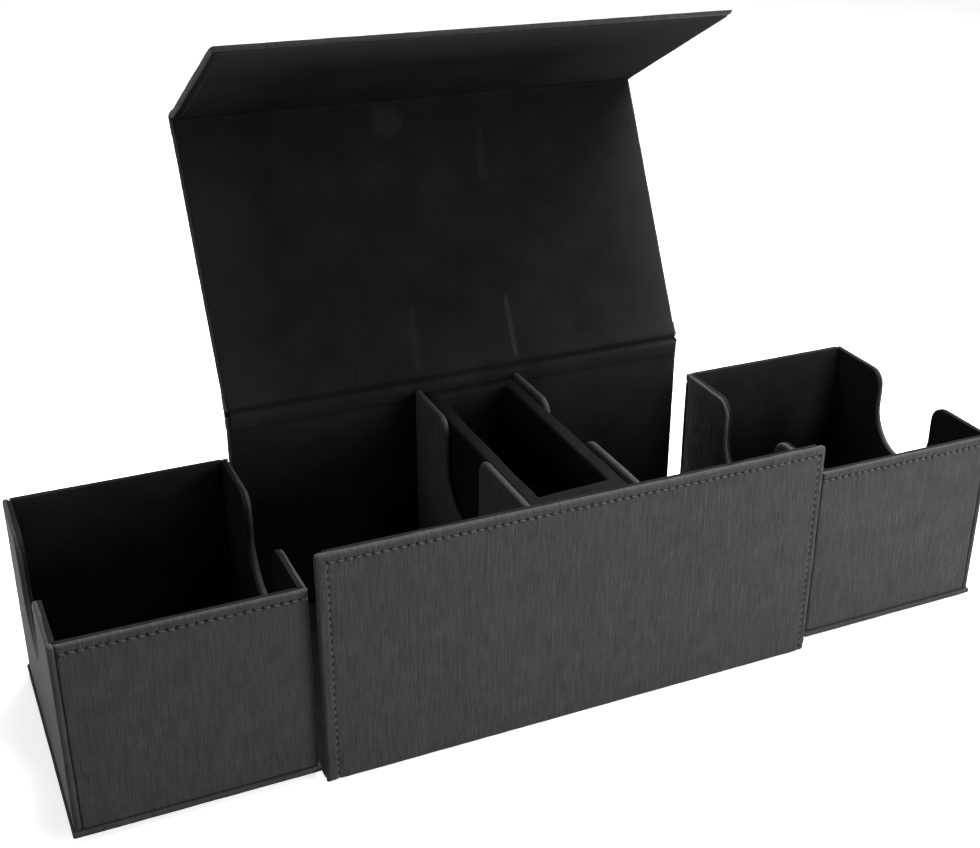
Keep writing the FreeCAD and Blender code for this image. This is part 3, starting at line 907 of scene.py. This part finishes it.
def suede_tray():
    """The dice tray: thick suede walls round a deep well."""
    parts = ["floor", "left_wall", "right_wall", "front_wall", "back_wall"]
    nodes = ["tray_" + part for part in parts]
    low = Vector([extent(nodes, axis)[0] for axis in (X, Y, Z)])
    high = Vector([extent(nodes, axis)[1] for axis in (X, Y, Z)])
    side = extent(["tray_left_wall"], X)
    wall = side[1] - side[0]
    front = extent(["tray_front_wall"], Y)
    floor = extent(["tray_floor"], Z)
    piece = primitive(bpy.ops.mesh.primitive_cube_add, "dice_tray_cover", size=1)
    piece.scale = high - low
    bpy.ops.object.transform_apply(scale=True)
    piece.data.transform(Matrix.Translation((low + high) / 2))
    pick(piece, lambda p: p.z > high.z - MM, "faces")
    bpy.ops.mesh.inset(thickness=wall)
    bpy.ops.object.mode_set(mode="OBJECT")
    inner = low.y + wall
    push(piece, lambda p: abs(p.y - inner) < MM and p.z > high.z - MM, (0, front[1] - inner, 0))

    def near_corner(p):
        return abs(p.y - front[1]) < MM and 0 < p.x < high.x - MM and p.z > high.z - MM

    push(piece, near_corner, (0, WELL_SKEW, 0))
    pick(piece, lambda p: p.z > high.z - MM and abs(p.x) < MM and abs(p.y) < 5 * MM, "faces")
    depth = high.z - floor[1]
    bpy.ops.mesh.extrude_region_move(TRANSFORM_OT_translate={"value": (0, 0, -depth)})
    leave(piece)
    round_edges(piece, 1.6 * MM, 4)
    for axis in (X, Y, Z):
        first, last = extent(nodes, axis)
        cuts = range(int((last - first) / TRAY_CELL))
        slice_at(piece, axis, [first + TRAY_CELL * (cut + 0.5) for cut in cuts])
    by_hand(piece, *TRAY_UNEVEN)
    # Its suede is the darker copy, painted shade for the deep well.
    finish_piece(piece, Matrix.Identity(4), suede_darkened_for_shade, "dice_tray", nodes, "suede", SOFT_ANGLE)


def cad_finish(name):
    """The finish of a CAD node, which shows where no piece of the scene replaces it."""
    if "magnet" in name:
        return plated
    if "lining" in name or name.startswith("tray"):
        return suede_dark
    return leather_y if name.endswith(("_end", "partition")) else leather_x


def finish_cad_nodes():
    """Give every CAD node its finish."""
    for name, node in frame["nodes"].items():
        node.data.materials.clear()
        node.data.materials.append(cad_finish(name))


LAMPS = (  # name, place, what it looks at, size and power
    ("top_lamp", (0.3, 0.2, 0.9), (0, 0, 0.09), (0.8, 0.6), 23.5),
    ("left_lamp", (-0.95, 0.0, 0.45), (0, 0, 0.08), (0.5, 0.3), 1.0),
    ("right_lamp", (0.25, -0.5, 0.18), (0.05, 0, 0.06), (0.3, 0.2), 2.6),
    ("low_lamp", (0.55, -0.05, 0.03), (0.05, 0.07, 0.21), (0.2, 0.1), 1.7),
)
FLOOR_SIZE = 12
FLOOR_WHITE = (grey(0.9), grey(0.72))  # the floor's colour and glow where it is seen
FLOOR_DIM = (grey(0.14), grey(0.0))    # the same as a light on the object
AIR_LIGHT = 0.14                       # the surroundings' strength as a light
CAMERA_PLACE = (-0.21088, -0.45047, 0.33438)
CAMERA_TURN = (63.9357, -1.0063, -25.4959)
CAMERA_LENS = 53.33
CAMERA_SHIFT = (-0.05356, 0.01004)


def lamp(name, place, aim, size, power):
    """Add a soft rectangular studio lamp that looks at a point."""
    data = bpy.data.lights.new(name, "AREA")
    data.shape = "RECTANGLE"
    data.size, data.size_y = size
    data.energy = power
    lamp_object = bpy.data.objects.new(name, data)
    lamp_object.location = place
    lamp_object.rotation_euler = (Vector(aim) - Vector(place)).to_track_quat("-Z", "Y").to_euler()
    bpy.context.scene.collection.objects.link(lamp_object)


def studio():
    """The floor, the lamps, the surroundings and the camera."""
    floor = primitive(bpy.ops.mesh.primitive_plane_add, "floor", size=FLOOR_SIZE)
    shader = surface("floor_white", {"Specular IOR Level": 0.0, "Emission Strength": 1.0})
    seen = shader.sees_background()
    colour, glow = [shader.blend(seen, dim, white) for dim, white in zip(FLOOR_DIM, FLOOR_WHITE)]
    shader.feed(shader.main.inputs["Emission Color"], glow)
    floor.data.materials.append(shader.finish(colour, 1.0))
    for settings in LAMPS:
        lamp(*settings)
    world = bpy.data.worlds.new("studio")
    bpy.context.scene.world = world
    air = Shader(world, "Background", {"Color": grey(1.0)})
    # White where it is seen or mirrored, and dimmer as a light.
    air.feed(air.main.inputs["Strength"], air.sees_background().or_more(AIR_LIGHT))
    camera_data = bpy.data.cameras.new("camera")
    camera_data.lens = CAMERA_LENS
    camera_data.sensor_width = 36
    camera_data.shift_x, camera_data.shift_y = CAMERA_SHIFT
    camera = bpy.data.objects.new("camera", camera_data)
    camera.location = CAMERA_PLACE
    camera.rotation_euler = [math.radians(angle) for angle in CAMERA_TURN]
    bpy.context.scene.collection.objects.link(camera)
    bpy.context.scene.camera = camera
    bpy.context.scene.view_settings.view_transform = "Standard"


finish_cad_nodes()
wrapped_case()
wrapped_drawer("left", -X)
wrapped_drawer("right", X)
wrapped_lid()
suede_tray()
studio()
